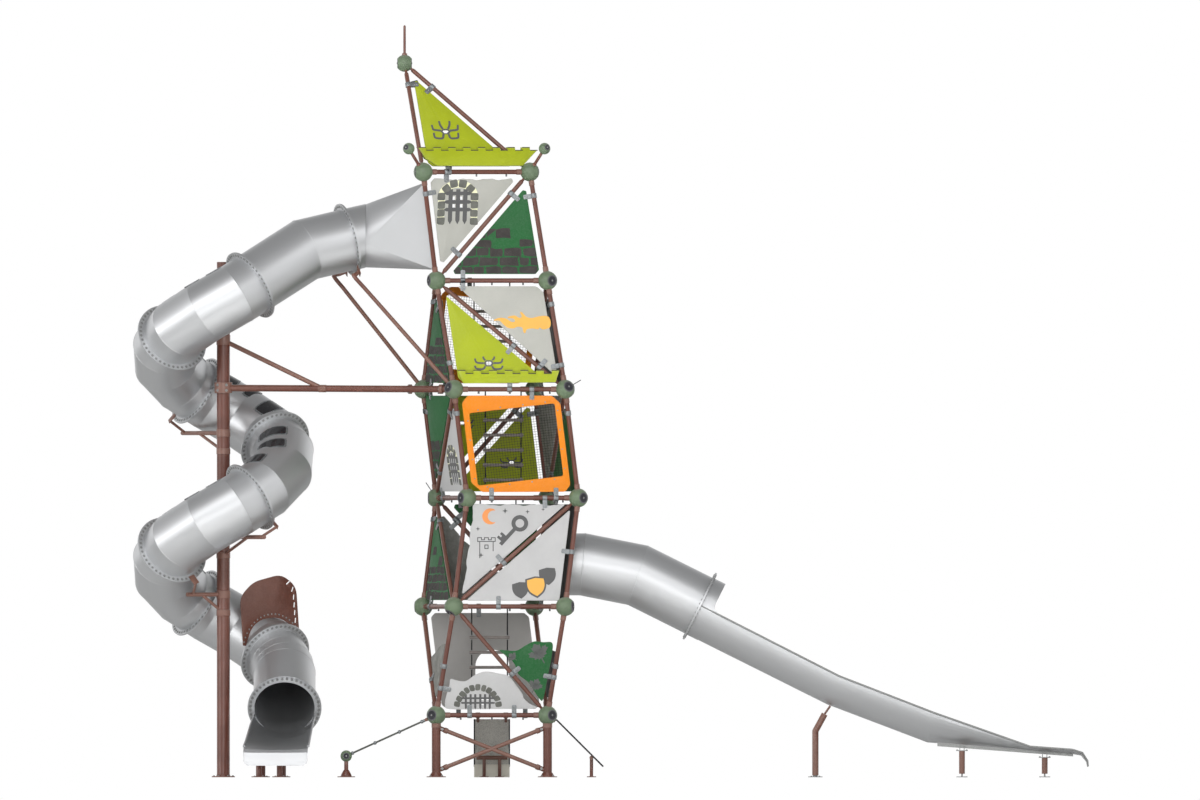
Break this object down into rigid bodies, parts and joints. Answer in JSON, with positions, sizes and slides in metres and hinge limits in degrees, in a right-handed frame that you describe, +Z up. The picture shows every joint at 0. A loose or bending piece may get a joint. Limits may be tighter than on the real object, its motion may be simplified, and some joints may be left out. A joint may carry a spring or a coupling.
{
  "type": "playground play structure with a spiral and a straight tube slide",
  "caption": "Climbing tower of leaning tube storeys with coloured panels, a spiral tube slide, a straight tube slide, net and ramps.",
  "frame": {"origin": "middle of the bounding box, on the ground", "axes": "+X from the spiral slide to the straight slide's end, +Y away from the front, +Z up"},
  "size_m": [12.3018, 3.4388, 9.69],
  "materials": {
    "brown_paint": "satin powder coat",
    "white_panel": "fine textured panel",
    "light_grey_panel": "fine textured panel",
    "green_panel": "fine textured panel",
    "lime_panel": "fine textured panel",
    "dark_panel": "fine textured panel",
    "stone_grey_panel": "rough stone-like panel",
    "door_panel": "fine textured panel",
    "orange_panel": "fine textured panel",
    "brushed_steel": "brushed stainless sheet",
    "rubber": "matt rubber sheet and sheathed rope"
  },
  "bodies": {
    "root": {"base_frame": "brown_paint", "storey_1_frame": "brown_paint", "storey_2_frame": "brown_paint", "storey_3_frame": "brown_paint", "storey_4_frame": "brown_paint", "top_frame": "brown_paint", "slide_column": "brown_paint", "spiral_shield": "brown_paint", "storey_1_gate_panel": "white_panel", "storey_2_front_panel_high": "white_panel", "storey_2_front_panel_low": "white_panel", "storey_3_left_gate_panel": "white_panel", "storey_4_flame_panel": "light_grey_panel", "storey_5_front_gate_panel": "light_grey_panel", "storey_5_back_gate_panel": "light_grey_panel", "storey_5_right_panel": "light_grey_panel", "storey_1_leaf_panel": "green_panel", "storey_2_left_brick_panel": "green_panel", "storey_2_back_panel": "green_panel", "storey_3_left_brick_panel": "green_panel", "storey_3_right_green_panel": "green_panel", "storey_4_left_brick_panel": "green_panel", "storey_4_left_green_panel": "green_panel", "storey_5_front_brick_panel": "green_panel", "storey_5_back_brick_panel": "green_panel", "storey_3_back_panel_low": "lime_panel", "storey_3_back_panel_high": "lime_panel", "storey_4_sail_panel": "lime_panel", "roof_front_sail": "lime_panel", "roof_back_sail": "lime_panel", "storey_1_right_panel": "dark_panel", "storey_2_slide_plate": "dark_panel", "storey_4_right_panel_low": "dark_panel", "storey_4_right_panel_high": "dark_panel", "storey_1_left_panel": "stone_grey_panel", "storey_2_back_grey_panel": "stone_grey_panel", "storey_3_right_grey_panel": "stone_grey_panel", "storey_1_door_panel": "door_panel", "storey_3_front_window": "orange_panel", "storey_4_back_window": "orange_panel", "spiral_hood": "brushed_steel", "spiral_outlet": "brushed_steel", "straight_slide_tube": "brushed_steel", "straight_slide_chute": "brushed_steel", "spiral_section_1": "brushed_steel", "spiral_section_2": "brushed_steel", "spiral_section_3": "brushed_steel", "spiral_section_4": "brushed_steel", "spiral_section_5": "brushed_steel", "spiral_section_6": "brushed_steel", "spiral_section_7": "brushed_steel", "spiral_section_8": "brushed_steel", "floor_0": "rubber", "floor_1": "rubber", "floor_2": "rubber", "floor_3": "rubber", "floor_4": "rubber", "left_net": "rubber", "right_ramp": "rubber", "rear_ramp": "rubber"}
  },
  "joints": []
}
